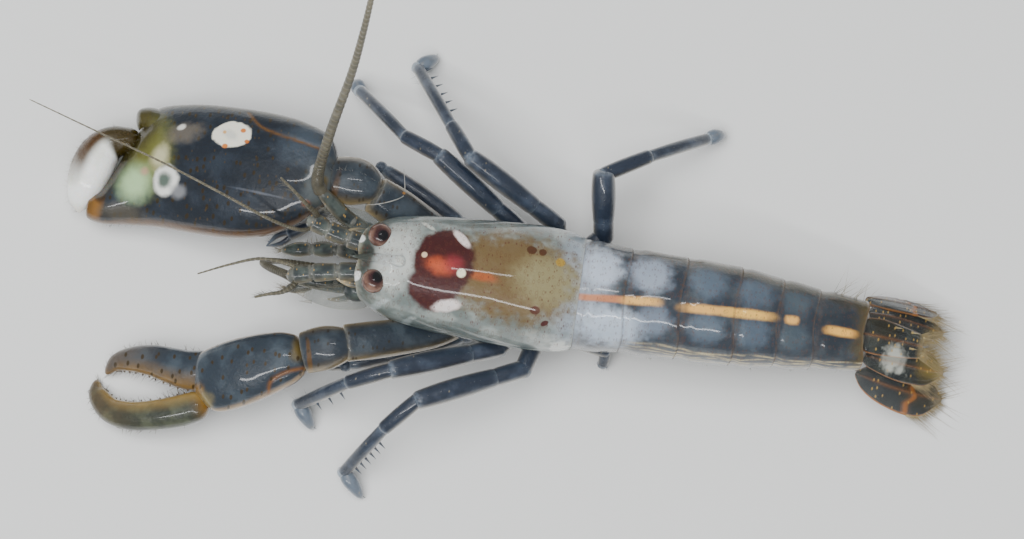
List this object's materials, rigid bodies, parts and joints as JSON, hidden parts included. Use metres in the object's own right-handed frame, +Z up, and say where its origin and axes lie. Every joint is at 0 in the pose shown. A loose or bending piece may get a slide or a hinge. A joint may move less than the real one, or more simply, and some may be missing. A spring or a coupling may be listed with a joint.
{
  "type": "snapping shrimp",
  "caption": "Life-size snapping shrimp standing on slender legs, with a swollen snapping claw, a smaller gaping claw, long feelers and a spread tail fan, for display and study.",
  "frame": {"origin": "on the floor, under the middle of the bounding box", "axes": "+X from head to tail, +Y to the animal's right, +Z up"},
  "size_m": [0.0239, 0.0116, 0.0082],
  "materials": {
    "shield": "translucent wet shell",
    "abdomen": "translucent wet shell",
    "claw": "translucent wet shell",
    "finger": "wet shell",
    "leg": "translucent wet shell",
    "eye": "wet and glossy",
    "tail": "translucent wet shell",
    "feeler": "satin"
  },
  "bodies": {
    "root": {"antenna_left": "leg", "antenna_left_flagellum": "feeler", "antenna_right": "leg", "antenna_right_flagellum": "feeler", "antennule_left": "leg", "antennule_left_flagellum_inner": "feeler", "antennule_left_flagellum_outer": "feeler", "antennule_right": "leg", "antennule_right_flagellum_inner": "feeler", "antennule_right_flagellum_outer": "feeler", "carapace": "shield", "cheliped_left_arm": "claw", "cheliped_left_finger": "finger", "cheliped_left_palm": "claw", "cheliped_left_wrist": "claw", "cheliped_right_arm": "claw", "cheliped_right_finger": "finger", "cheliped_right_palm": "claw", "cheliped_right_wrist": "claw", "eye_left": "eye", "eye_right": "eye", "leg_2_left": "leg", "leg_2_right": "leg", "leg_3_left": "leg", "leg_3_right": "leg", "leg_4_left": "leg", "leg_4_right": "leg", "leg_5_left": "leg", "leg_5_right": "leg", "maxilliped_left": "leg", "maxilliped_right": "leg", "pleon_1": "abdomen", "pleon_2": "abdomen", "pleon_3": "abdomen", "pleon_4": "abdomen", "pleon_5": "abdomen", "pleon_6": "abdomen", "pleopod_1_left": "leg", "pleopod_1_right": "leg", "pleopod_2_left": "leg", "pleopod_2_right": "leg", "pleopod_3_left": "leg", "pleopod_3_right": "leg", "pleopod_4_left": "leg", "pleopod_4_right": "leg", "pleopod_5_left": "leg", "pleopod_5_right": "leg", "telson": "tail", "uropod_inner_left": "tail", "uropod_inner_right": "tail", "uropod_outer_left": "tail", "uropod_outer_right": "tail"}
  },
  "joints": []
}
